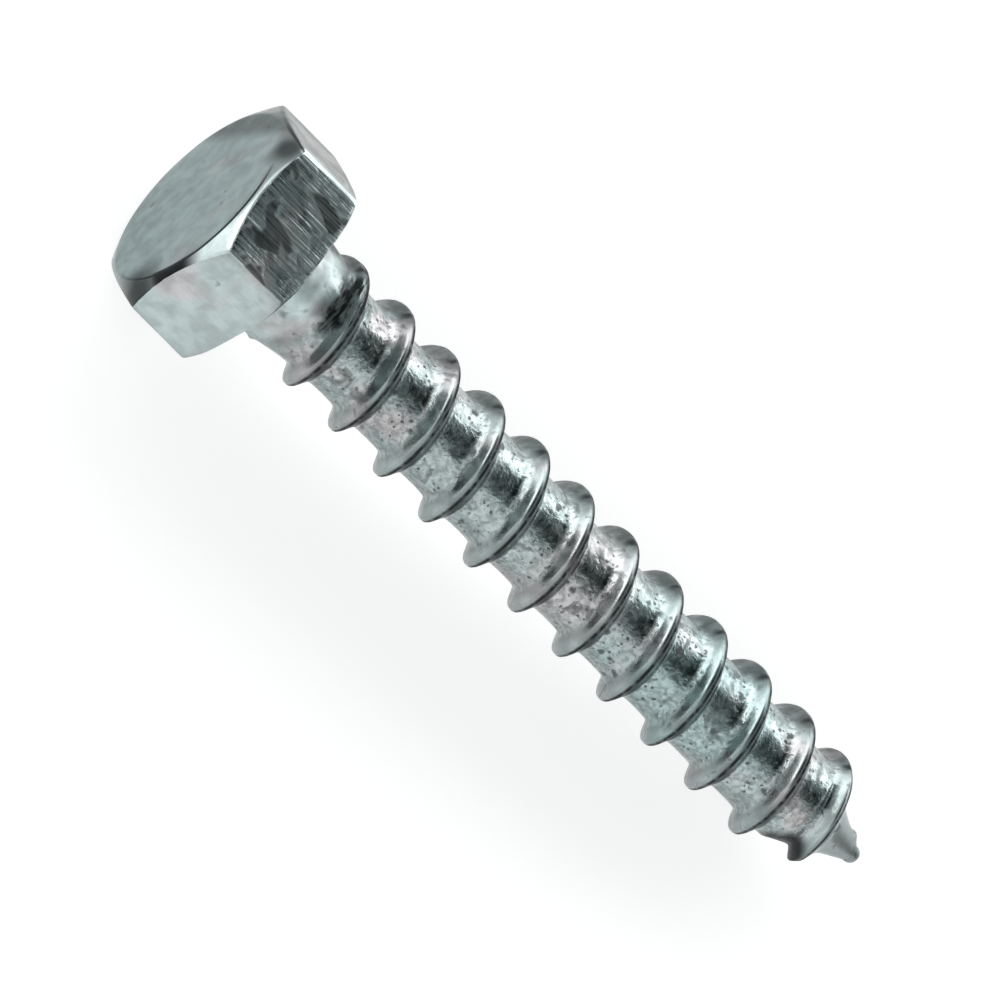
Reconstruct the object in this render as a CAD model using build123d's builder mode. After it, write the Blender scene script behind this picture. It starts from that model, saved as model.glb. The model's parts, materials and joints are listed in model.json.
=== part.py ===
from build123d import *
from math import atan, atan2, ceil, cos, degrees, radians, sin, tan
import os

# Hexagon-head lag screw (coach screw): one solid piece of steel, millimetres.
# It is drawn on its own axis, +Z from the underside of the head to the point, and then
# laid down as a loose screw comes to rest: on one flat of its head and one thread crest.

# Head
across_flats = 13.0          # spanner size
head_height = 5.5
top_circle = 12.2            # plain round face inside the top chamfer
bearing_circle = 13.6        # round edge of the small corner break under the head
chamfer_angle = 30.0         # both chamfers, measured from the faces

# Shank
length = 51.0                # underside of the head to the end of the point
neck_diameter = 6.9          # plain blank under the head
neck_flare = 0.4             # small cone that joins the neck to the head
neck_length = 2.2
shoulder_length = 3.4        # in which the neck slopes down into the core
core_diameter = 5.75         # root of the thread
point_length = 4.8           # conical part of the point
point_end_diameter = 1.1     # rounded end of the point

# Thread
thread_diameter = 7.85       # over the crests
pitch = 3.83
flank_angle = 60.0           # included
crest_flat = 0.36
crest_rise = 0.7             # in which the crest climbs halfway out of the neck
crest_runout = 4.2           # in which it reaches its full height
crest_fade = 4.0             # in which it sinks towards the end of the point
plain_end = 1.4              # last of the point, past the end of the thread
thread_angle = 241.0         # about the axis, where the thread goes over onto the point

# Worked out
head_radius = across_flats / 2
corner_radius = head_radius / cos(radians(30))
neck_radius = neck_diameter / 2
core_radius = core_diameter / 2
crest_radius = thread_diameter / 2
end_radius = point_end_diameter / 2
thread_depth = crest_radius - core_radius
cone_end = length - end_radius
cone_start = cone_end - point_length


def ridge_section(height):
    """Axial section of the thread at the core, with its foot buried half a depth inside."""
    foot_depth = thread_depth / 2
    foot_width = crest_flat + 2 * (thread_depth + foot_depth) * tan(radians(flank_angle / 2))
    section_plane = Plane(origin=(core_radius, 0, height), x_dir=(1, 0, 0), z_dir=(0, -1, 0))
    with BuildSketch(section_plane) as section:
        with BuildLine():
            Polyline(
                (-foot_depth, -foot_width / 2),
                (thread_depth, -crest_flat / 2),
                (thread_depth, crest_flat / 2),
                (-foot_depth, foot_width / 2),
                close=True,
            )
        make_face()
    return section.sketch


# Head: a hexagonal bar inside one turned envelope, which makes both chamfers
with BuildPart() as head:
    with BuildSketch(Plane.XY.offset(-head_height)):
        RegularPolygon(head_radius, 6, major_radius=False, rotation=30)
    extrude(amount=head_height)
    chamfer_slope = tan(radians(chamfer_angle))
    envelope_radius = 1.1 * corner_radius
    top_drop = (envelope_radius - top_circle / 2) * chamfer_slope
    bearing_drop = (envelope_radius - bearing_circle / 2) * chamfer_slope
    with BuildSketch(Plane.XZ):
        with BuildLine():
            Polyline(
                (0, -head_height),
                (top_circle / 2, -head_height),
                (envelope_radius, top_drop - head_height),
                (envelope_radius, -bearing_drop),
                (bearing_circle / 2, 0),
                (0, 0),
                close=True,
            )
        make_face()
    revolve(axis=Axis.Z, mode=Mode.INTERSECT)

# Threaded core: a turned core and cone, the runs of thread, and a turned limit that trims them
core_turns = ceil((cone_start - neck_length) / pitch)
thread_start = cone_start - core_turns * pitch
thread_end = length - plain_end
turns_per_run = 2            # short runs keep each helical face simple
cone_angle = atan2(core_radius - end_radius, point_length)
with BuildPart() as threaded_core:
    # the core, a little long, for the limit to round its end
    with BuildSketch(Plane.XZ):
        with BuildLine():
            Polyline(
                (0, -head_height / 2),
                (core_radius, -head_height / 2),
                (core_radius, cone_start),
                (1.2 * end_radius, cone_end),
                (1.2 * end_radius, length + end_radius),
                (0, length + end_radius),
                close=True,
            )
        make_face()
    revolve(axis=Axis.Z)

    # along the core: runs of whole turns, end to end, from inside the neck to the point
    for first_turn in range(0, core_turns, turns_per_run):
        run_start = thread_start + first_turn * pitch
        run_turns = min(turns_per_run, core_turns - first_turn)
        with BuildLine() as core_helix:
            Helix(pitch, run_turns * pitch, core_radius, center=(0, 0, run_start))
        add(ridge_section(run_start))
        sweep(path=core_helix.line, is_frenet=True)

    # down the point: the same section on a conical helix, which is measured along its slant
    with BuildLine() as point_helix:
        Helix(
            pitch / cos(cone_angle),
            (thread_end - cone_start) / cos(cone_angle),
            core_radius,
            center=(0, 0, cone_start),
            cone_angle=-degrees(cone_angle),
        )
    add(ridge_section(cone_start))
    sweep(path=point_helix.line, is_frenet=True)

    # the limit: inside the neck, up to the full crests, clear of them, and down the point
    inside_neck = 0.92 * neck_radius
    clear_of_crests = 1.02 * crest_radius
    with BuildSketch(Plane.YZ):
        with BuildLine():
            Polyline(
                (0, cone_end),
                (0, -head_height / 4),
                (inside_neck, -head_height / 4),
                (inside_neck, neck_length),
                ((neck_radius + crest_radius) / 2, neck_length + crest_rise),
                (clear_of_crests, neck_length + crest_runout),
                (clear_of_crests, cone_end - crest_fade),
                (end_radius, cone_end),
            )
            CenterArc((0, cone_end), end_radius, 0, 90)
            Line((0, length), (0, cone_end))
        make_face()
    revolve(axis=Axis.Z, mode=Mode.INTERSECT)

# One solid: the neck, flared into the head, closes the start of the thread
with BuildPart() as upright:
    add(threaded_core.part, rotation=(0, 0, thread_angle))
    with BuildSketch(Plane.YZ):
        with BuildLine():
            Polyline(
                (0, -head_height / 2),
                (neck_radius + neck_flare, -head_height / 2),
                (neck_radius + neck_flare, 0),
                (neck_radius, neck_flare),
                (neck_radius, neck_length),
                (0.9 * core_radius, neck_length + shoulder_length),
                (0, neck_length + shoulder_length),
                close=True,
            )
        make_face()
    revolve(axis=Axis.Z)
    add(head.part)

# At rest the axis slopes down to the point, from the edge of a flat to the last full crest
crest_below = cone_start - pitch * ((thread_angle - 180) % 360) / 360 + crest_flat / 2
slope = atan((head_radius - crest_radius) / crest_below)
resting = Plane(
    origin=(0, 0, head_radius * cos(slope)),
    x_dir=(sin(slope), 0, cos(slope)),
    z_dir=(cos(slope), 0, -sin(slope)),
)
with BuildPart() as laid_down:
    with Locations(resting):
        add(upright.part)

# Origin on the floor, under the middle of the whole length
extent = laid_down.part.bounding_box()
with BuildPart() as lag_screw:
    with Locations((-extent.center().X, -extent.center().Y, 0)):
        add(laid_down.part)

os.makedirs("parts", exist_ok=True)
lag_screw.part.label = "lag_screw"
export_step(lag_screw.part, "parts/lag_screw.step")
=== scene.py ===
"""Lag screw add-on: builds the head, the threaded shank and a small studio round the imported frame."""

import json
import math

import bmesh
import bpy
import numpy as np
from mathutils import Matrix, Vector


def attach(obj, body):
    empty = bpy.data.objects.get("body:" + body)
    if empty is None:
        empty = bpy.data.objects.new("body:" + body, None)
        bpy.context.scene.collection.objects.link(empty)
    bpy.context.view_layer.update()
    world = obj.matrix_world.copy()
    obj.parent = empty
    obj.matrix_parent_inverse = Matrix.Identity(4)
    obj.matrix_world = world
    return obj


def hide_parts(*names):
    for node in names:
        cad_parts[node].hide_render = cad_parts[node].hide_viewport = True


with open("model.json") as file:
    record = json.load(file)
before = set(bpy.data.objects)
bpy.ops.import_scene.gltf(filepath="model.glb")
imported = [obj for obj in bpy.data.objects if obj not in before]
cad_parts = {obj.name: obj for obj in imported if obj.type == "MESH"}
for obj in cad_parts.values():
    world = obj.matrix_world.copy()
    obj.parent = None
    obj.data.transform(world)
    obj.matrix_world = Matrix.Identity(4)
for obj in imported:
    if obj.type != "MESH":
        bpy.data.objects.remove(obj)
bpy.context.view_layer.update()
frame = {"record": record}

bl_info = {
    "name": "Lag screw",
    "version": (1, 0, 0),
    "blender": (4, 5, 0),
    "location": "View3D > Sidebar > Lag screw",
    "description": "Makes a zinc-plated hexagon-head lag screw and the studio it lies in",
    "category": "Add Mesh",
}

BODY = "root"
NODE = "lag_screw"
MOUNTS = {mount["name"]: mount for mount in frame["record"]["mounts"]}

# The screw's own axes in the frame: origin on the bearing face, towards the point, and up
SEAT = np.array(MOUNTS["bearing_face"]["pos_m"])
ALONG = np.array(MOUNTS["bearing_face"]["axis"]) / np.linalg.norm(MOUNTS["bearing_face"]["axis"])
LEVEL = np.array((0.0, -1.0, 0.0))
UPWARD = np.cross(LEVEL, ALONG)
SLOPE = math.asin(-ALONG[2])

# The head's mesh, its rows over the top face, the chamfer, the flats and the underside
HEAD_ROWS = (22, 16, 34, 26)
ROW_CROWDING = 0.8        # how far they crowd towards each edge, 0 to 1
COLUMN_CROWDING = 0.72    # and its columns towards each corner
HEAD_REACH = 0.006        # about how far its surface is from its middle
HEAD_INSET = 8.4e-6       # keeps the dented head inside its packed size
HEAD_DENTS = ((4.5e-6, 0.0042, 3), (1.5e-6, 0.0013, 4))  # height, size and seed of each kind

# Small forms of the shank, in metres
FLARE_SWELL = 0.0002      # a wider, lower swelling round the flare under the head
SWELL_LENGTH = 0.0018
SHOULDER_FILLET = 0.00012
SHOULDER_GONE = 0.001     # past the start of the cone, where no trace of the shoulder is left
CREST_EDGE = 0.00005      # rounding of the edges of the crest's flat
ROOT_FILLET = 0.00026
FILLET_LIFT = 0.00003     # what that fillet adds to the bare core, taken off again
LIMIT_EDGE = 0.00004      # rounding of the crests where their limit trims them
CREST_SPARE = 0.00002     # what that rounding takes off the full crests
SINK_BEFORE = 0.0008      # the last of the thread sinks from here before its end
SINK_AFTER = 0.0003       # to here past it
FLANK_WIDTH = 0.00061     # of one flank, along the axis
SHANK_START = -0.0015     # inside the head
SHANK_WAVES = ((10e-6, 0.0026, 11), (5e-6, 0.0009, 12))  # height, size and seed of each kind
SHANK_INSET = 14e-6       # keeps the uneven shank inside its packed size
SETTLE_LENGTH = 0.002     # last of the point, where both die away
DOME_SHARE = 0.99         # height of the point's rounded end as a share of its radius

MERGE_WITHIN = 2e-7       # points of a mesh that lie this close are one
EMPTY_WITHIN = 1e-8       # and edges this short are dissolved

# Tints of the plate where it is thinner on the top face and thicker along the thread
TOP_TINT = (0.91, 1.0, 1.01, 1.0)
THICK_TINT = (0.92, 1.0, 1.0, 1.0)

# Spots on the plate in the screw's own millimetres: along it, across it and up
# painted highlights: on one flat, on the chamfer and along one edge of the head
PAINTED_FLAT_HIGHLIGHT = (-2.75, -5.65, 3.25)
PAINTED_CHAMFER_HIGHLIGHT = (-5.1, -3.1, 5.7)
PAINTED_EDGE_HIGHLIGHT = (0.0, 3.78, 6.45)
# middle of the painted dark reflection along the top circle, and a painted dark wedge on the chamfer
SEAM_MIDDLE = (-5.4, -4.4, 4.6)
PAINTED_DARK_WEDGE = (-5.46, -5.35, 2.80)
# painted dark reflections in two corners of the chamfer
UPPER_PAINTED_DARK = (-5.2, 3.4, 5.6)
LOWER_PAINTED_DARK = (-5.2, -6.7, 0.5)
THIN_PLATE = (26.0, -0.6, 1.5)
THICK_PLATE = (35.5, -1.0, 1.5)
LAST_TOOTH = (46.7, -2.7, 0.1)
SCORCHED_NECK = (4.45, 1.2, 3.4)


# ---------------------------------------------------------------- sizes and finishes


class HeadSizes(bpy.types.PropertyGroup):
    """Sizes of the forged hexagon head"""

    across_flats: bpy.props.FloatProperty(
        name="Across flats", description="Spanner size", default=0.0130, unit="LENGTH", precision=5)
    height: bpy.props.FloatProperty(
        name="Height", description="From the bearing face to the top face", default=0.0055,
        unit="LENGTH", precision=5)
    top_circle: bpy.props.FloatProperty(
        name="Top circle", description="Diameter of the plain round top face", default=0.0122,
        unit="LENGTH", precision=5)
    bearing_circle: bpy.props.FloatProperty(
        name="Bearing circle", description="Diameter inside the corner break under the head",
        default=0.0136, unit="LENGTH", precision=5)
    chamfer: bpy.props.FloatProperty(
        name="Chamfer", description="Angle of both chamfers from the faces",
        default=math.radians(30), subtype="ANGLE")
    crispness: bpy.props.FloatProperty(
        name="Crispness", description="Exponent of the soft minimum: higher is sharper",
        default=84.0, min=8.0, max=400.0)
    columns_per_flat: bpy.props.IntProperty(
        name="Columns per flat", description="Mesh columns over each sixth of the head",
        default=34, min=6, max=80)


class ShankSizes(bpy.types.PropertyGroup):
    """Sizes of the neck, the core, the point and the rolled thread"""

    length: bpy.props.FloatProperty(
        name="Length", description="From the bearing face to the end of the point",
        default=0.0510, unit="LENGTH", precision=5)
    neck_diameter: bpy.props.FloatProperty(
        name="Neck", description="Diameter of the plain blank under the head", default=0.0069,
        unit="LENGTH", precision=5)
    neck_length: bpy.props.FloatProperty(
        name="Neck length", description="Plain length before the thread runs out of it",
        default=0.0022, unit="LENGTH", precision=5)
    neck_flare: bpy.props.FloatProperty(
        name="Neck flare", description="Radius of the fillet between the head and the neck",
        default=0.0004, unit="LENGTH", precision=5)
    shoulder_length: bpy.props.FloatProperty(
        name="Shoulder", description="Length in which the neck slopes down into the core",
        default=0.0034, unit="LENGTH", precision=5)
    core_diameter: bpy.props.FloatProperty(
        name="Core", description="Diameter at the root of the thread", default=0.00575,
        unit="LENGTH", precision=5)
    thread_diameter: bpy.props.FloatProperty(
        name="Thread", description="Diameter over the crests", default=0.00785,
        unit="LENGTH", precision=5)
    pitch: bpy.props.FloatProperty(
        name="Pitch", description="Distance from crest to crest", default=0.00383,
        unit="LENGTH", precision=5)
    crest_flat: bpy.props.FloatProperty(
        name="Crest flat", description="Width of the flat on the crest", default=0.00036,
        unit="LENGTH", precision=5)
    flank_angle: bpy.props.FloatProperty(
        name="Flank angle", description="Angle included between the flanks",
        default=math.radians(60), subtype="ANGLE")
    crest_rise: bpy.props.FloatProperty(
        name="Crest rise", description="Length in which the crest climbs halfway out of the neck",
        default=0.0007, unit="LENGTH", precision=5)
    crest_runout: bpy.props.FloatProperty(
        name="Crest runout", description="Length in which the crest reaches its full height",
        default=0.0042, unit="LENGTH", precision=5)
    crest_fade: bpy.props.FloatProperty(
        name="Crest fade", description="Length in which the crest sinks towards the rounded end",
        default=0.0040, unit="LENGTH", precision=5)
    plain_end: bpy.props.FloatProperty(
        name="Plain end", description="Last of the point, past the end of the thread",
        default=0.0014, unit="LENGTH", precision=5)
    point_length: bpy.props.FloatProperty(
        name="Point", description="Length of the conical point", default=0.0048,
        unit="LENGTH", precision=5)
    point_end: bpy.props.FloatProperty(
        name="Point end", description="Diameter of the rounded end", default=0.0011,
        unit="LENGTH", precision=5)
    thread_angle: bpy.props.FloatProperty(
        name="Thread angle", description="About the axis, where the thread meets the point",
        default=math.radians(241), subtype="ANGLE")
    columns: bpy.props.IntProperty(
        name="Columns", description="Mesh columns in one turn of the thread", default=144,
        min=24, max=240)


class ZincFinish(bpy.types.PropertyGroup):
    """Colours and unevenness of the bright zinc plate"""

    blue: bpy.props.FloatVectorProperty(
        name="Blue zinc", description="Bluish green of the thicker plate", subtype="COLOR", size=3,
        default=(0.388, 0.452, 0.45), min=0.0, max=1.0)
    mauve: bpy.props.FloatVectorProperty(
        name="Mauve zinc", description="Pinkish grey of the thinner plate", subtype="COLOR", size=3,
        default=(0.43, 0.428, 0.434), min=0.0, max=1.0)
    # this dark colour serves both real residue and the painted shade and dark reflections
    stain_and_shade: bpy.props.FloatVectorProperty(
        name="Stain", description="Dark residue in pits, scratches and corners", subtype="COLOR",
        size=3, default=(0.012, 0.015, 0.016), min=0.0, max=1.0)
    roughness: bpy.props.FloatProperty(
        name="Roughness", description="Of the plate where nothing has rubbed it", default=0.20,
        min=0.02, max=1.0)
    grain: bpy.props.FloatProperty(
        name="Grain", description="Height of the plate's fine grain, in micrometres", default=1.0,
        min=0.0, max=10.0)


class StudioSettings(bpy.types.PropertyGroup):
    """Camera and lamps of the studio"""

    elevation: bpy.props.FloatProperty(
        name="Elevation", description="Height of the camera above the floor's plane",
        default=math.radians(60.89), subtype="ANGLE")
    azimuth: bpy.props.FloatProperty(
        name="Azimuth", description="Turn of the camera about the vertical, 0 looking along +Y",
        default=math.radians(-43.6), subtype="ANGLE")
    roll: bpy.props.FloatProperty(
        name="Roll", description="Turn of the camera about its own line of sight",
        default=math.radians(83.68), subtype="ANGLE")
    distance: bpy.props.FloatProperty(
        name="Distance", description="From the camera to its aim", default=0.7718, unit="LENGTH")
    aim: bpy.props.FloatVectorProperty(
        name="Aim", description="Point that the camera looks at", size=3, subtype="TRANSLATION",
        default=(-0.00243, 0.00015, 0.005))
    lens: bpy.props.FloatProperty(
        name="Lens", description="Focal length in millimetres on a 36 mm sensor", default=498.9)
    floor_glow: bpy.props.FloatProperty(
        name="Floor glow", description="What lifts the sheet of paper to white", default=0.60,
        min=0.0, max=1.0)
    side_lamp: bpy.props.FloatProperty(
        name="Side lamp", description="Brightness of the long soft box, where 1 is white paper",
        default=1.55, min=0.0)
    head_lamp: bpy.props.FloatProperty(
        name="Head lamp", description="Brightness of the soft box behind the head",
        default=2.2, min=0.0)


# ---------------------------------------------------------------- surfaces


def to_frame(x, y, z):
    """Own coordinates to the frame: seat + x * upward + y * level + z * along, as (..., 3) arrays."""
    return SEAT + x[..., None] * UPWARD + y[..., None] * LEVEL + z[..., None] * ALONG


def eased(count, pull):
    """Values 0 to 1 crowded towards both ends: t - pull * sin(2 pi t) / (2 pi)."""
    t = np.linspace(0.0, 1.0, count + 1)
    return t - pull * np.sin(2 * np.pi * t) / (2 * np.pi)


def ramp(value, low, high):
    """0 at low, 1 at high, straight between them and held beyond: (value - low) / (high - low)."""
    return np.clip((value - low) / (high - low), 0.0, 1.0)


def soft_min(a, b, radius):
    """Smaller of a and b, its corner rounded: (a + b - sqrt((a - b)^2 + radius^2)) / 2."""
    return 0.5 * (a + b - np.sqrt((a - b) ** 2 + radius ** 2))


def soft_max(a, b, radius):
    """Larger of a and b, its corner filled: (a + b + sqrt((a - b)^2 + radius^2)) / 2."""
    return 0.5 * (a + b + np.sqrt((a - b) ** 2 + radius ** 2))


def waves(points, size, seed, count=24):
    """Smooth unevenness, mostly within -1 to 1, of about that size.

    It is the sum of cosines along random directions, over the square root of their number.
    """
    rng = np.random.default_rng(seed)
    ways = rng.normal(size=(count, 3))
    ways /= np.linalg.norm(ways, axis=1)[:, None]
    lengths = size * rng.uniform(0.6, 1.7, count)
    shifts = rng.uniform(0, 2 * np.pi, count)
    total = np.zeros(points.shape[:-1])
    for way, length, shift in zip(ways, lengths, shifts):
        total += np.cos(points @ way * (2 * np.pi / length) + shift)
    return total / math.sqrt(count)


def unevenness(points, kinds):
    """The sum of height * waves over some kinds of unevenness, each a height, a size and a seed."""
    return sum(height * waves(points, size, seed) for height, size, seed in kinds)


def mesh_piece(name, points, faces, layers):
    """A closed mesh object from whole arrays, with its doubles merged and float layers stored."""
    mesh = bpy.data.meshes.new(name)
    mesh.vertices.add(len(points))
    mesh.vertices.foreach_set("co", points.astype(np.float32).ravel())
    mesh.loops.add(faces.size)
    mesh.loops.foreach_set("vertex_index", faces.astype(np.int32).ravel())
    mesh.polygons.add(len(faces))
    mesh.polygons.foreach_set("loop_start", np.arange(0, faces.size, 4, dtype=np.int32))
    mesh.polygons.foreach_set("loop_total", np.full(len(faces), 4, dtype=np.int32))
    mesh.update(calc_edges=True)
    for layer, values in layers.items():
        attribute = mesh.attributes.new(layer, "FLOAT", "POINT")
        attribute.data.foreach_set("value", values.astype(np.float32).ravel())
    work = bmesh.new()
    work.from_mesh(mesh)
    bmesh.ops.remove_doubles(work, verts=work.verts, dist=MERGE_WITHIN)
    bmesh.ops.dissolve_degenerate(work, edges=work.edges, dist=EMPTY_WITHIN)
    bmesh.ops.recalc_face_normals(work, faces=work.faces)
    work.to_mesh(mesh)
    work.free()
    mesh.polygons.foreach_set("use_smooth", np.ones(len(mesh.polygons), dtype=bool))
    mesh.update()
    piece = bpy.data.objects.new(name, mesh)
    bpy.context.scene.collection.objects.link(piece)
    return piece


def grid_faces(rows, width, closed):
    """Quads of a grid of points, row after row. A closed grid's last column meets its first."""
    steps = width if closed else width - 1
    row, column = np.meshgrid(np.arange(rows - 1), np.arange(steps), indexing="ij")
    here = row * width + column
    beside = row * width + (column + 1) % width
    return np.stack((here, here + width, beside + width, beside), axis=-1).reshape(-1, 4)


def head_points(sizes):
    """The head as a distance from its middle, for each direction (polar angle from the top, azimuth).

    The distance is the soft minimum (sum of (n.d / D) ^ p) ^ (-1 / p) over the top and bearing
    faces, the two chamfer cones and the six flats, each of normal n at distance D from the middle.
    """
    half = sizes.height / 2
    flat = sizes.across_flats / 2
    top, bearing = sizes.top_circle / 2, sizes.bearing_circle / 2
    sine, cosine = math.sin(sizes.chamfer), math.cos(sizes.chamfer)

    # directions: columns crowded towards the corners, rows crowded towards every edge
    sixth = math.pi / 3
    within = eased(sizes.columns_per_flat, COLUMN_CROWDING)[:-1] * sixth - sixth / 2
    azimuth = (within[None, :] + np.arange(6)[:, None] * sixth).ravel()
    reach = flat / np.cos((azimuth + sixth / 2) % sixth - sixth / 2)
    shoulder = half - (reach - top) * sine / cosine
    foot = half - np.maximum(reach - bearing, 0.0) * sine / cosine
    ring = np.ones_like(azimuth)
    stops = (
        0.0 * ring,
        math.atan2(top, half) * ring,
        np.arctan2(reach, shoulder),
        math.pi - np.arctan2(reach, foot),
        math.pi * ring,
    )
    polar = np.concatenate([
        low + (high - low) * eased(count, ROW_CROWDING)[:-1, None]
        for low, high, count in zip(stops[:-1], stops[1:], HEAD_ROWS)
    ] + [stops[-1][None, :]])

    # how close each face, cone and flat is along every direction
    out, down = np.sin(polar), -np.cos(polar)
    x, y = out * np.cos(azimuth), out * np.sin(azimuth)
    faces = [-down / half, down / half]
    faces += [(sine * out - cosine * down) / (sine * top + cosine * half)]
    faces += [(sine * out + cosine * down) / (sine * bearing + cosine * half)]
    faces += [(x * math.cos(turn) + y * math.sin(turn)) / flat for turn in np.arange(6) * sixth]
    closeness = np.maximum(np.stack(faces), 0.0)
    distance = (closeness ** sizes.crispness).sum(axis=0) ** (-1 / sizes.crispness)
    nearest = closeness.argmax(axis=0)
    points = np.stack((distance * x, distance * y, distance * down - half), axis=-1)
    return points, {"on_flat": (nearest >= 4).astype(float), "on_top": (nearest == 0).astype(float)}


def build_head(sizes):
    """The head's mesh: rows from the middle of the top face to the middle of the bearing face."""
    own, layers = head_points(sizes)
    rows, columns = own.shape[:2]
    dents = unevenness(own, HEAD_DENTS)
    middle = np.array((0.0, 0.0, -sizes.height / 2))
    own = middle + (own - middle) * (1 - (HEAD_INSET + dents[..., None]) / HEAD_REACH)
    points = to_frame(own[..., 0], own[..., 1], own[..., 2])
    return mesh_piece("head", points.reshape(-1, 3), grid_faces(rows, columns, True), layers)


def cone_span(sizes):
    """Heights at which the point's cone starts and ends."""
    cone_end = sizes.length - sizes.point_end / 2
    return cone_end - sizes.point_length, cone_end


def rolled_radius(sizes, height):
    """Radius at the root of the thread: the core, then the straight cone of the point."""
    core, end = sizes.core_diameter / 2, sizes.point_end / 2
    cone_start, _ = cone_span(sizes)
    cone = core - (height - cone_start) * (core - end) / sizes.point_length
    return np.where(height < cone_start, core, cone)


def blank_radius(sizes, height, rolled):
    """Radius of the turned blank: the neck with its sloping shoulder over the rolled core.

    Under the head it flares by a quarter circle, neck + flare - sqrt(flare^2 - rise^2), and
    swells by a little more, as (1 - height / length) ^ 1.5.
    """
    neck, core, flare = sizes.neck_diameter / 2, sizes.core_diameter / 2, sizes.neck_flare
    shoulder = neck - (height - sizes.neck_length) * (neck - core) / sizes.shoulder_length
    blank = soft_max(np.minimum(neck, shoulder), rolled, SHOULDER_FILLET)
    cone_start, _ = cone_span(sizes)
    blank = np.where(height > cone_start + SHOULDER_GONE, rolled, blank)
    rise = np.clip(flare - height, 0.0, flare)
    flared = neck + flare - np.sqrt(flare ** 2 - rise ** 2)
    blank = np.where(rise > 0, np.maximum(blank, flared), blank)
    return blank + FLARE_SWELL * np.clip(1 - height / SWELL_LENGTH, 0.0, 1.0) ** 1.5


def ridge_radius(sizes, rolled, aside, crest_height):
    """Radius of the ridge at a distance aside from its crest, which is at the crest height.

    The flanks fall from the crest's flat by distance / tan(half the included angle). At the end
    of the thread the whole ridge sinks by twice its depth on the smooth step t^2 (3 - 2 t).
    """
    depth = (sizes.thread_diameter - sizes.core_diameter) / 2
    fall = soft_max(aside - sizes.crest_flat / 2, 0.0, CREST_EDGE) / math.tan(sizes.flank_angle / 2)
    thread_end = sizes.length - sizes.plain_end
    sink = ramp(crest_height, thread_end - SINK_BEFORE, thread_end + SINK_AFTER)
    return rolled + depth - fall - 2 * depth * sink ** 2 * (3 - 2 * sink)


def crest_limit(sizes, height):
    """Radius that the crests may reach: the climb out of the neck, then the fade into the point."""
    neck, crest, end = sizes.neck_diameter / 2, sizes.thread_diameter / 2, sizes.point_end / 2
    inside_neck, clear_of_crests = 0.97 * neck, 1.02 * crest
    heights = np.array((-1.0, 0.0, sizes.crest_rise, sizes.crest_runout)) + sizes.neck_length
    runout = np.interp(height, heights, (0.0, inside_neck, (neck + crest) / 2, clear_of_crests))
    _, cone_end = cone_span(sizes)
    into_point = end + (cone_end - height) * (clear_of_crests - end) / sizes.crest_fade
    return np.minimum(runout, into_point)


def thorn_rise(angle, height):
    """A torn thorn of thread on the cone: rise * exp(-(up / length)^2 - (round / width)^2)."""
    rise, length, width = 0.00024, 0.00034, 0.00050
    thorn_angle, thorn_height, cone_radius = math.radians(-68), 0.0498, 0.0009
    around = ((angle - thorn_angle + math.pi) % (2 * math.pi) - math.pi) * cone_radius
    return rise * np.exp(-((height - thorn_height) / length) ** 2 - (around / width) ** 2)


def shade_and_residue_behind(sizes, height, behind, ridge, blank):
    """Painted shade and residue on the far side of each crest, 0 to 1: a line at its edge and a film
    down the flank.
    """
    edge, half_width, below_edge = 0.00013, 0.00016, 0.0002
    line = np.clip(1.5 - np.abs(behind - edge) / half_width, 0.0, 1.0)
    film = 0.28 * ramp(behind, 0.0002, 0.0003) * ramp(behind, 0.0009, 0.0006)
    on_ridge = ridge > blank - below_edge
    past_neck = ramp(height - sizes.neck_length, 0.0003, 0.0008)
    return np.maximum(line, film) * on_ridge * past_neck


def shank_radius(sizes, angle, height):
    """Radius of the shank at an angle and height, with the mesh layers that go with it.

    It is the soft maximum of the turned blank and the ridge, under the soft minimum of the
    crests' limit. The place within the pitch comes from
    height - pitch * (angle - thread angle) / 2 pi. Past the cone it is an ellipse's quarter.
    """
    crest, end = sizes.thread_diameter / 2, sizes.point_end / 2
    cone_start, cone_end = cone_span(sizes)
    phase = (height - cone_start) / sizes.pitch - (angle - sizes.thread_angle) / (2 * math.pi)
    behind = (phase - np.round(phase)) * sizes.pitch
    rolled = rolled_radius(sizes, height)
    blank = blank_radius(sizes, height, rolled)
    ridge = ridge_radius(sizes, rolled, np.abs(behind), height - behind)
    body = soft_max(blank, ridge, ROOT_FILLET) - FILLET_LIFT
    limit = np.maximum(crest_limit(sizes, height), blank)
    radius = soft_min(body, np.minimum(limit, crest + CREST_SPARE), LIMIT_EDGE)
    up_dome = np.maximum(height - cone_end, 0.0) / (DOME_SHARE * end)
    dome = end * np.sqrt(np.maximum(1 - up_dome ** 2, 0.0))
    radius = np.where(height > cone_end, dome, radius) + thorn_rise(angle, height)
    up_thread = np.clip((radius - rolled) / (crest - sizes.core_diameter / 2), 0.0, 1.0)
    return radius, {"up_thread": up_thread, "lee": shade_and_residue_behind(sizes, height, behind, ridge, blank)}


def shank_rows(sizes):
    """Heights of the mesh rows at angle 0, crowded round the crests' flats and edges."""
    pitch = sizes.pitch
    flat = sizes.crest_flat / 2 / pitch
    flank = (sizes.crest_flat / 2 + FLANK_WIDTH) / pitch
    stops = (0.0, 1.25 * flat, flank, 1.35 * flank, 0.5)
    counts = (4, 8, 6, 7)
    side = np.concatenate([
        np.linspace(low, high, count, endpoint=False)
        for low, high, count in zip(stops[:-1], stops[1:], counts)
    ] + [[0.5]])
    within = np.concatenate((-side[:0:-1], side[:-1]))
    crest_at_zero = cone_span(sizes)[0] - pitch * sizes.thread_angle / (2 * math.pi)
    first = math.floor((SHANK_START - pitch - crest_at_zero) / pitch)
    last = math.ceil((sizes.length - crest_at_zero) / pitch) + 1
    turns = np.arange(first, last)
    return (crest_at_zero + pitch * (turns[:, None] + within[None, :])).ravel()


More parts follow.
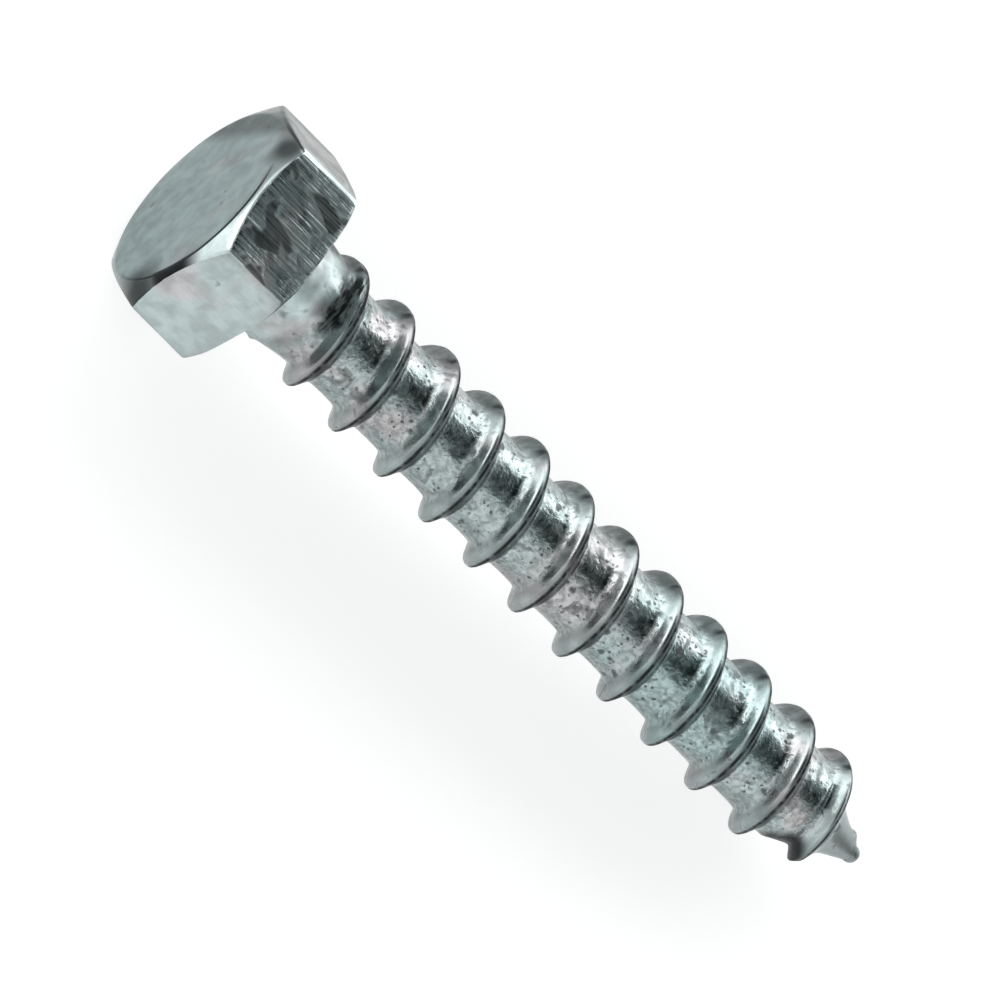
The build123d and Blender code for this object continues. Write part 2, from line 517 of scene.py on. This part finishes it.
def build_shank(sizes):
    """The shank's mesh: rows that follow the helix, so that one turn later they are the next rows.

    A row at angle a lies at its height + pitch * a / 2 pi, held between the two ends, and after
    a whole turn it meets the row one pitch on. The held rows fall together and are merged.
    """
    columns = sizes.columns
    rise = np.arange(columns + 1) / columns
    height = shank_rows(sizes)[:, None] + sizes.pitch * rise[None, :]
    height = np.clip(height, SHANK_START, sizes.length)
    angle = np.broadcast_to(2 * math.pi * rise % (2 * math.pi), height.shape)
    _, cone_end = cone_span(sizes)
    end = sizes.point_end / 2
    quarter = np.clip((height - cone_end) / end, 0.0, 1.0) * math.pi / 2
    height = np.where(height > cone_end, cone_end + DOME_SHARE * end * np.sin(quarter), height)

    # the surface, a little uneven and drawn in as much, and closed to a point inside the head
    radius, layers = shank_radius(sizes, angle, height)
    own = np.stack((radius * np.cos(angle), radius * np.sin(angle), height), axis=-1)
    drawn_in = SHANK_INSET - unevenness(own, SHANK_WAVES)
    settle = ramp(height, sizes.length, sizes.length - SETTLE_LENGTH)
    slim = 1 - settle * drawn_in / np.maximum(radius, 1e-4)
    slim = np.where(height <= SHANK_START, 0.0, slim)
    own[..., :2] *= slim[..., None]
    points = to_frame(own[..., 0], own[..., 1], own[..., 2])
    return mesh_piece("shank", points.reshape(-1, 3), grid_faces(*height.shape, False), layers)


# ---------------------------------------------------------------- shaders


class Signal:
    """One output of a node tree. Sums, products and abs() of signals add the Math nodes for them."""

    def __init__(self, tree, socket):
        self.tree = tree
        self.socket = socket

    def reckoned(self, operation, *others):
        """The result of one Math node on this signal and the others."""
        inputs = dict(enumerate((self, *others)))
        return signal_of(self.tree, "ShaderNodeMath", inputs, operation=operation)

    def beside(self, name):
        """Another output of the node that this signal comes from."""
        return Signal(self.tree, self.socket.node.outputs[name])

    def __add__(self, other):
        return self.reckoned("ADD", other)

    def __sub__(self, other):
        return self.reckoned("SUBTRACT", other)

    def __rsub__(self, other):
        return self.reckoned("MULTIPLY_ADD", -1.0, other)

    def __mul__(self, other):
        return self.reckoned("MULTIPLY", other)

    def __abs__(self):
        return self.reckoned("ABSOLUTE")

    __radd__ = __add__
    __rmul__ = __mul__


def plug(tree, socket, value):
    """Links a signal to a socket, or sets a plain value on it."""
    if isinstance(value, Signal):
        tree.links.new(value.socket, socket)
    else:
        socket.default_value = value


def signal_of(tree, kind, inputs, output=0, **settings):
    """An output of a new shader node, with its settings made and its inputs plugged."""
    node = tree.nodes.new(kind)
    for name, value in settings.items():
        setattr(node, name, value)
    for name, value in inputs.items():
        plug(tree, node.inputs[name], value)
    return Signal(tree, node.outputs[output])


def largest(signal, *others):
    """The largest of some signals."""
    for other in others:
        signal = signal.reckoned("MAXIMUM", other)
    return signal


def fade(signal, low, high, start=0.0, end=1.0):
    """A signal eased from start at low to end at high, and held beyond them."""
    inputs = {"Value": signal, "From Min": low, "From Max": high, "To Min": start, "To Max": end}
    return signal_of(signal.tree, "ShaderNodeMapRange", inputs, interpolation_type="SMOOTHSTEP")


def blend(factor, below, above, kind="MIX"):
    """The colour above blended over the one below, which is a signal."""
    inputs = {"Fac": factor, "Color1": below, "Color2": above}
    return signal_of(below.tree, "ShaderNodeMixRGB", inputs, blend_type=kind)


def vector_of(operation, output, *vectors):
    """The result of one Vector Math node, the first of whose vectors is a signal."""
    inputs = dict(enumerate(vectors))
    return signal_of(vectors[0].tree, "ShaderNodeVectorMath", inputs, output, operation=operation)


def parts_of(vector):
    """The three parts of a vector."""
    x = signal_of(vector.tree, "ShaderNodeSeparateXYZ", {"Vector": vector}, "X")
    return x, x.beside("Y"), x.beside("Z")


def near(where, spot, inner, outer):
    """1 within the inner distance of a spot, falling to 0 at the outer one."""
    return fade(vector_of("DISTANCE", "Value", where, spot), inner, outer, 1.0, 0.0)


def noise(where, scale, detail=2.0, warp=0.0, stretch=(1.0, 1.0, 1.0)):
    """Noise with so many grains to a millimetre, stretched along the screw's own axes."""
    placed = signal_of(where.tree, "ShaderNodeMapping", {"Vector": where, "Scale": stretch})
    inputs = {"Vector": placed, "Scale": scale, "Detail": detail, "Distortion": warp}
    return signal_of(where.tree, "ShaderNodeTexNoise", inputs)


def pits(where, spacing, size, seed):
    """Scattered ragged pits: 1 in their middles, 0 outside, most cells of the grid left bare."""
    tree = where.tree
    ragged = signal_of(tree, "ShaderNodeTexNoise", {"Vector": where, "Scale": 1.1 / size}, "Color")
    pulled = vector_of("MULTIPLY_ADD", "Vector", ragged, (1.4 * size,) * 3, where)
    moved = {"Vector": pulled, "Location": (seed, 2 * seed, 3 * seed)}
    cells = {"Vector": signal_of(tree, "ShaderNodeMapping", moved), "Scale": 1 / spacing}
    distance = signal_of(tree, "ShaderNodeTexVoronoi", cells, "Distance")
    chosen = signal_of(tree, "ShaderNodeSeparateColor", {"Color": distance.beside("Color")}, "Red")
    reach = fade(chosen, 0.30, 1.0, 0.0, size / spacing)
    return fade(reach - distance, 0.0, 0.5 * size / spacing)


def layer_of(tree, name):
    """A float layer of the mesh."""
    return signal_of(tree, "ShaderNodeAttribute", {}, "Fac", attribute_name=name)


def own_millimetres(tree):
    """Object coordinates turned to the screw: millimetres along it, across it and up."""
    turn = Matrix.Rotation(-SLOPE, 3, "Y")
    inputs = {
        "Vector": signal_of(tree, "ShaderNodeTexCoord", {}, "Object"),
        "Location": turn @ Vector(SEAT) * -1000,
        "Rotation": (0.0, -SLOPE, 0.0),
        "Scale": (1000.0, 1000.0, 1000.0),
    }
    return signal_of(tree, "ShaderNodeMapping", inputs)


def new_material(name):
    """A material with nodes, and its tree."""
    material = bpy.data.materials.new(name)
    material.use_nodes = True
    return material, material.node_tree


def plate_colour(where, finish):
    """Patches of bluish and mauve plate some millimetres wide, mottled lighter and darker."""
    patches = fade(noise(where, 0.27), 0.50, 0.68)
    inputs = {"Fac": patches, "Color1": (*finish.blue, 1.0), "Color2": (*finish.mauve, 1.0)}
    colour = signal_of(where.tree, "ShaderNodeMixRGB", inputs)
    mottle = fade(noise(where, 0.9, 3.0, 0.4), 0.3, 0.7, 0.82, 1.08)
    return blend(1.0, colour, mottle, "MULTIPLY")


def finish_metal(colour, soot_and_shade, roughness, height, finish):
    """Sends the plate's colour, the residue and painted shade over it, roughness and height in
    micrometres to the shader.

    Residue and painted shade aren't metal: they take the shader's metallic down with them, and nearly
    all its gloss.
    """
    tree = colour.tree
    shader = tree.nodes["Principled BSDF"]
    bump = signal_of(tree, "ShaderNodeBump", {"Distance": 1e-6, "Height": height})
    plug(tree, shader.inputs["Base Color"], blend(soot_and_shade, colour, (*finish.stain_and_shade, 1.0)))
    plug(tree, shader.inputs["Metallic"], 1 - 0.85 * soot_and_shade)
    plug(tree, shader.inputs["Specular IOR Level"], 0.08)
    plug(tree, shader.inputs["Roughness"], roughness)
    plug(tree, shader.inputs["Normal"], bump)


def head_zinc(finish):
    """Zinc plate on the forged head: shear marks along the flats, a groove with a painted dark
    reflection at the top circle, and painted highlights and shade.
    """
    material, tree = new_material("zinc_head")
    where = own_millimetres(tree)
    along, across, up = parts_of(where)
    section = signal_of(tree, "ShaderNodeCombineXYZ", {"Y": across, "Z": up})
    radius = vector_of("LENGTH", "Value", section)
    on_flat, on_top = layer_of(tree, "on_flat"), layer_of(tree, "on_top")
    off_flat = 1 - on_flat
    lies_on_top = fade(abs(across), 3.60, 3.75, 1.0, 0.0) * fade(up, 5.0, 6.0)
    upper_flat = on_flat * lies_on_top

    # brightness of the plate, with painted light and shade in it: a painted highlight on one flat, the
    # faces and the chamfer duller, painted shade past 3.9 mm across, the upper flat painted nearly twice
    # as light to lift its dark reflection, and painted highlights on the chamfer and along one edge
    level = 0.64 + 0.52 * on_flat * near(where, PAINTED_FLAT_HIGHLIGHT, 3.4, 5.0)
    level = level * fade(across, 3.9, 5.0, 1.0, 0.39)
    level = level * (1 + 0.95 * upper_flat)
    level = level + near(where, PAINTED_CHAMFER_HIGHLIGHT, 1.1, 3.6) * (1 - on_top) * off_flat
    level = level + 1.5 * near(section, PAINTED_EDGE_HIGHLIGHT, 0.16, 0.34) * fade(along, -5.1, -4.8)
    colour = blend(1.0, plate_colour(where, finish), level, "MULTIPLY")
    colour = blend(on_top, colour, TOP_TINT, "MULTIPLY")

    # shear marks: fine and coarse streaks along the screw, deepest on the flat that lies on top
    fine = noise(where, 1.0, 3.0, 0.0, (0.35, 8.0, 8.0))
    coarse = noise(where, 1.0, 2.0, 0.6, (0.2, 2.6, 2.6))
    worn = fade(noise(where, 0.5, 3.0, 0.5), 0.38, 0.62)
    marked = on_flat * (0.05 + 0.95 * lies_on_top)
    height = (50 * coarse + 26 * fine) * marked * (0.5 + 0.7 * worn)

    # forged faces: a soft orange peel, the plate's grain and a few dull dents
    dents = pits(where, 1.9, 0.30, 3.0)
    height = height + 14 * noise(where, 0.7) + finish.grain * noise(where, 9.0, 3.0) - 6 * dents

    # the seam between the top circle and the chamfer, widest over one flat: a shallow groove in the
    # bump, with a painted dark reflection along it and in a wedge on the chamfer
    ring = fade(abs(radius - 6.10), 0.045, 0.125, 1.0, 0.0) * fade(along, -4.7, -4.3, 1.0, 0.0)
    ring = ring * (0.08 + 0.92 * near(where, SEAM_MIDDLE, 4.5, 7.5))
    wedge = near(where, PAINTED_DARK_WEDGE, 0.9, 2.5) * off_flat * fade(radius, 5.84, 5.98)
    seam = largest(ring, wedge)
    height = height - 8 * seam

    # residue in the dents and the shear marks; dark blotches on the upper flat; and a painted dark
    # reflection in the seam, on the rim of the chamfer over the flat turned away, darker higher up, and
    # in two corners of the chamfer
    blotches = fade(noise(where, 0.62, 3.0, 0.8, (0.6, 1.0, 1.0)), 0.49, 0.62)
    blotches = blotches * fade(fine, 0.36, 0.56, 1.0, 0.88) * upper_flat
    scored = fade(fine, 0.46, 0.62) * marked
    away = vector_of("DOT_PRODUCT", "Value", where, (0.0, math.cos(math.radians(30)), 0.5))
    rim = fade(away, 6.22, 6.34) * off_flat * fade(along, -4.4, -4.2, 1.0, 0.0)
    rim = rim * fade(up, 2.5, 5.0, 0.20, 0.90)
    painted_dark_corners = largest(near(where, UPPER_PAINTED_DARK, 0.3, 1.7), near(where, LOWER_PAINTED_DARK, 0.4, 2.6))
    painted_dark_corners = painted_dark_corners * (0.85 - on_flat)
    soot_and_shade = largest(seam, 0.95 * blotches, rim, 0.60 * scored, 0.35 * dents, painted_dark_corners)

    roughness = finish.roughness + 0.12 * worn + 0.10 * on_top + 0.15 * soot_and_shade
    finish_metal(colour, soot_and_shade, roughness, height, finish)
    return material


def shank_residue_and_shade(where, flow, hammer, ragged, pitting):
    """Residue and painted shade on the shank, 0 to 1: the darkest of its pits, the painted shade behind
    and on its crests, clouds, painted dark spots and burns.
    """
    along, across, up = parts_of(where)
    up_thread, lee = layer_of(where.tree, "up_thread"), layer_of(where.tree, "lee")
    on_crest = fade(up_thread, 0.85, 0.97)

    # behind each crest: painted shade and residue on its shaded side, painted shade on the tip flanks
    # towards -across, and a painted dark reflection on the crests towards -across
    broken = fade(noise(where, 1.8), 0.30, 0.55)
    behind = lee * (0.70 + 0.28 * broken)
    low = fade(lee, 0.05, 0.20) * (1 - on_crest) * fade(across, -3.0, -1.9, 0.85, 0.0)
    crest = on_crest * fade(across, -2.2, -0.6, 0.22, 0.0)

    # soft clouds, painted shade on the far side and on the underside, and a painted dark reflection in a
    # spot on each turn's upper far side
    clouds = fade(noise(where, 0.9, 3.0, 0.6), 0.54, 0.70, 0.0, 0.5)
    painted_far_shade = fade(across, 1.9, 2.8, 0.0, 0.58) * fade(hammer, 0.3, 0.6, 0.7, 1.2)
    under = fade(up, -0.8, 2.0, 0.30, 0.0)
    lean = math.radians(51)
    off_line = vector_of("DOT_PRODUCT", "Value", where, (0.0, math.cos(lean), -math.sin(lean)))
    off_line = abs(off_line + (0.8 * ragged - 0.4))
    patch = fade(off_line, 0.0, 0.80, 0.94, 0.0) * fade(across, 1.2, 1.8)
    patch = patch * fade(up_thread, 0.0, 0.80)

    # a burnt band along the helix behind the neck, a scorched spot beside it, and the last tooth
    slant = along + 0.135 * across + 0.9 * ragged
    side = across + 1.6 * ragged
    burnt = fade(slant, 3.60, 4.05) * fade(slant, 4.60, 5.00, 1.0, 0.0)
    burnt = burnt * fade(side, -1.6, -0.2) * fade(side, 2.1, 3.1, 1.0, 0.0)
    burnt = burnt * fade(flow, 0.38, 0.55, 0.75, 1.0) * fade(up, 0.5, 1.5)
    scorched = near(where, SCORCHED_NECK, 1.0, 2.0) * fade(flow, 0.42, 0.56, 0.25, 0.95)
    scorched = scorched * fade(along, 3.3, 3.7)
    tooth = 0.95 * near(where, LAST_TOOTH, 1.0, 2.0)
    return largest(0.65 * pitting, behind, low, crest, clouds, painted_far_shade, under, patch, burnt,
                   scorched, tooth)


def shank_zinc(finish):
    """Zinc plate on the rolled thread: pitted, hammered roots, smooth crests, residue and painted shade
    behind them, and painted light and shade round the screw.
    """
    material, tree = new_material("zinc_shank")
    where = own_millimetres(tree)
    along, across, _ = parts_of(where)
    root = fade(layer_of(tree, "up_thread"), 0.05, 0.5, 1.0, 0.0)
    neck = fade(along, 2.3, 3.1, 1.0, 0.0)
    point = fade(along, 47.5, 48.1)

    # colour: thinner plate in the middle, thicker further on, bluer at the point
    thin = 0.9 * near(where, THIN_PLATE, 2.0, 4.2)
    colour = blend(thin, plate_colour(where, finish), (*finish.mauve, 1.0))
    colour = blend(near(where, THICK_PLATE, 4.0, 7.5), colour, THICK_TINT, "MULTIPLY")
    colour = blend(0.85 * point, colour, (*(0.8 * part for part in finish.blue), 1.0))

    # brightness: flecks in the roots, painted light and shade on the flanks that changes round the
    # screw, and the neck painted lighter to lift its shade
    flecks = fade(noise(where, 2.4, 4.0, 0.8), 0.36, 0.64, 0.78, 1.28)
    flanks = fade(across, -1.0, 2.0, 1.35, 0.80) * fade(across, -2.7, -1.4, 0.58, 1.0)
    flanks = flanks * fade(across, -3.6, -3.1, 1.45, 1.0)
    level = fade(point, 0.0, 1.0, fade(root, 0.0, 1.0, flanks, flecks), 1.0)
    colour = blend(1.0, colour, level, "MULTIPLY")
    colour = blend(1.0, colour, 1 + 0.7 * neck, "MULTIPLY")

    # rolled roots are hammered and pitted, the flanks drawn smooth along the helix
    rolled = root * fade(along, 2.5, 4.5) * fade(along, 47.3, 48.3, 1.0, 0.0)
    hammer = noise(where, 1.0, 2.0, 0.3)
    dimple = noise(where, 3.0, 2.0, 0.4)
    flow = noise(where, 1.0, 3.0, 0.2, (5.0, 0.9, 0.9))
    pitting = largest(pits(where, 0.33, 0.15, 1.0), pits(where, 0.80, 0.34, 5.0))
    pitting = pitting * (0.1 + 0.9 * rolled)
    height = hammer * (10 + 32 * rolled) + dimple * (3 + 32 * rolled) + 5 * flow
    height = height + finish.grain * noise(where, 7.0, 3.0) - 10 * pitting

    ragged = noise(where, 1.6, 3.0, 0.4)
    soot_and_shade = shank_residue_and_shade(where, flow, hammer, ragged, pitting)
    rubbed = finish.roughness - 0.03
    roughness = rubbed + 0.10 * fade(ragged, 0.35, 0.65) + 0.20 * soot_and_shade + 0.30 * neck
    finish_metal(colour, soot_and_shade, roughness, height, finish)
    return material


# ---------------------------------------------------------------- studio


def seen(tree):
    """1 for rays from the camera and for those that metal or glass sends on, 0 for the rest."""
    camera = signal_of(tree, "ShaderNodeLightPath", {}, "Is Camera Ray")
    return largest(camera, camera.beside("Is Glossy Ray"), camera.beside("Is Transmission Ray"))


def make_floor(studio):
    """A wide sheet of white paper: its own glow lifts it to white and leaves the shadow on it."""
    reach = 3.0
    mesh = bpy.data.meshes.new("floor")
    corners = [(-reach, -reach, 0.0), (reach, -reach, 0.0), (reach, reach, 0.0), (-reach, reach, 0.0)]
    mesh.from_pydata(corners, [], [(0, 1, 2, 3)])
    floor = bpy.data.objects.new("floor", mesh)
    bpy.context.scene.collection.objects.link(floor)
    material, tree = new_material("floor_paper")
    values = {
        "Base Color": (0.75, 0.75, 0.75, 1.0),
        "Roughness": 1.0,
        "Specular IOR Level": 0.0,
        "Emission Color": (1.0, 1.0, 1.0, 1.0),
        "Emission Strength": studio.floor_glow * seen(tree),
    }
    for name, value in values.items():
        plug(tree, tree.nodes["Principled BSDF"].inputs[name], value)
    floor.data.materials.append(material)


def make_surroundings(scene):
    """A dome: pale low down on both sides, greyer at both ends, and a dark cap leaning to +Y."""
    world = bpy.data.worlds.new("surroundings")
    scene.world = world
    world.use_nodes = True
    tree = world.node_tree
    where = signal_of(tree, "ShaderNodeTexCoord", {}, "Generated")
    lean = Vector((0.05, 0.22, 0.97)).normalized()
    dome = signal_of(tree, "ShaderNodeValToRGB", {"Fac": vector_of("DOT_PRODUCT", "Value", where, lean)})

    # closeness to the middle of the cap, and how light the dome is there; the dark steps are bluer
    steps = ((0.50, 1.0), (0.66, 0.76), (0.78, 0.44), (0.90, 0.15), (0.965, 0.02))
    elements = dome.socket.node.color_ramp.elements
    for place, level in steps[:-2]:
        elements.new(place)
    for element, (place, level) in zip(elements, steps):
        element.position = place
        element.color = (level * (0.78 + 0.22 * level), level, level, 1.0)
    side = fade(abs(parts_of(where)[1]), 0.05, 0.60, 0.40, 1.0)
    plug(tree, tree.nodes["Background"].inputs["Color"], blend(1.0, dome, side, "MULTIPLY"))


def make_lamp(name, place, width, height, level):
    """A soft box of so many metres at a place, turned to the origin, with a surface brightness."""
    data = bpy.data.lights.new(name, "AREA")
    data.shape = "RECTANGLE"
    data.size, data.size_y = width, height
    data.energy = level * math.pi * width * height
    lamp = bpy.data.objects.new(name, data)
    facing = Vector(place).to_track_quat("Z", "Y").to_matrix().to_4x4()
    lamp.matrix_world = Matrix.Translation(Vector(place)) @ facing
    bpy.context.scene.collection.objects.link(lamp)


def make_lamps(studio):
    """A long soft box low on the +Y side, and a smaller one behind the head."""
    make_lamp("lamp_side", (0.0, 0.62, 0.27), 1.5, 0.46, studio.side_lamp)
    make_lamp("lamp_head", (-0.66, 0.20, 0.17), 0.6, 0.34, studio.head_lamp)


def make_camera(scene):
    """A long lens at the settings' azimuth and elevation, turned by their roll."""
    studio = scene.lag_studio
    flat = math.cos(studio.elevation)
    back = Vector((
        flat * math.sin(studio.azimuth),
        -flat * math.cos(studio.azimuth),
        math.sin(studio.elevation),
    ))
    facing = back.to_track_quat("Z", "Y").to_matrix().to_4x4()
    data = bpy.data.cameras.new("camera")
    data.lens = studio.lens
    data.sensor_width = 36.0
    data.clip_end = 20.0
    camera = bpy.data.objects.new("camera", data)
    scene.collection.objects.link(camera)
    turn = Matrix.Rotation(studio.roll, 4, "Z")
    camera.matrix_world = Matrix.Translation(Vector(studio.aim) + back * studio.distance) @ facing @ turn
    scene.camera = camera


# ---------------------------------------------------------------- operators


def finish_piece(piece, material):
    """Puts the finish on a piece and ties it to the frame."""
    piece.data.materials.append(material)
    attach(piece, BODY)
    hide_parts(NODE)


class LAG_OT_head(bpy.types.Operator):
    """Make the forged hexagon head"""

    bl_idname = "lag_screw.head"
    bl_label = "Head"

    def execute(self, context):
        scene = context.scene
        finish_piece(build_head(scene.lag_head), head_zinc(scene.lag_zinc))
        return {"FINISHED"}


class LAG_OT_shank(bpy.types.Operator):
    """Make the neck, the threaded shank and the point"""

    bl_idname = "lag_screw.shank"
    bl_label = "Shank and thread"

    def execute(self, context):
        scene = context.scene
        finish_piece(build_shank(scene.lag_shank), shank_zinc(scene.lag_zinc))
        return {"FINISHED"}


class LAG_OT_studio(bpy.types.Operator):
    """Make the floor, the lamps, the surroundings and the camera"""

    bl_idname = "lag_screw.studio"
    bl_label = "Studio"

    def execute(self, context):
        scene = context.scene
        make_floor(scene.lag_studio)
        make_surroundings(scene)
        make_lamps(scene.lag_studio)
        make_camera(scene)
        return {"FINISHED"}


class LAG_PT_panel(bpy.types.Panel):
    """Lag screw pieces in the 3D view's sidebar"""

    bl_idname = "LAG_PT_panel"
    bl_label = "Lag screw"
    bl_space_type = "VIEW_3D"
    bl_region_type = "UI"
    bl_category = "Lag screw"

    def draw(self, context):
        for operator in (LAG_OT_head, LAG_OT_shank, LAG_OT_studio):
            self.layout.operator(operator.bl_idname)
        for name, group in GROUPS.items():
            column = self.layout.column(heading=group.bl_rna.description)
            for setting in group.__annotations__:
                column.prop(getattr(context.scene, name), setting)


CLASSES = (HeadSizes, ShankSizes, ZincFinish, StudioSettings,
           LAG_OT_head, LAG_OT_shank, LAG_OT_studio, LAG_PT_panel)
GROUPS = {"lag_head": HeadSizes, "lag_shank": ShankSizes, "lag_zinc": ZincFinish,
          "lag_studio": StudioSettings}


def register():
    """Registers the classes and hangs the settings on the scene."""
    for cls in CLASSES:
        bpy.utils.register_class(cls)
    for name, group in GROUPS.items():
        setattr(bpy.types.Scene, name, bpy.props.PointerProperty(type=group))


def unregister():
    """Takes the settings and the classes away again."""
    for name in GROUPS:
        delattr(bpy.types.Scene, name)
    for cls in reversed(CLASSES):
        bpy.utils.unregister_class(cls)


def main():
    register()
    bpy.context.scene.view_settings.view_transform = "Standard"
    bpy.ops.lag_screw.head()
    bpy.ops.lag_screw.shank()
    bpy.ops.lag_screw.studio()


if __name__ == "__main__":
    main()
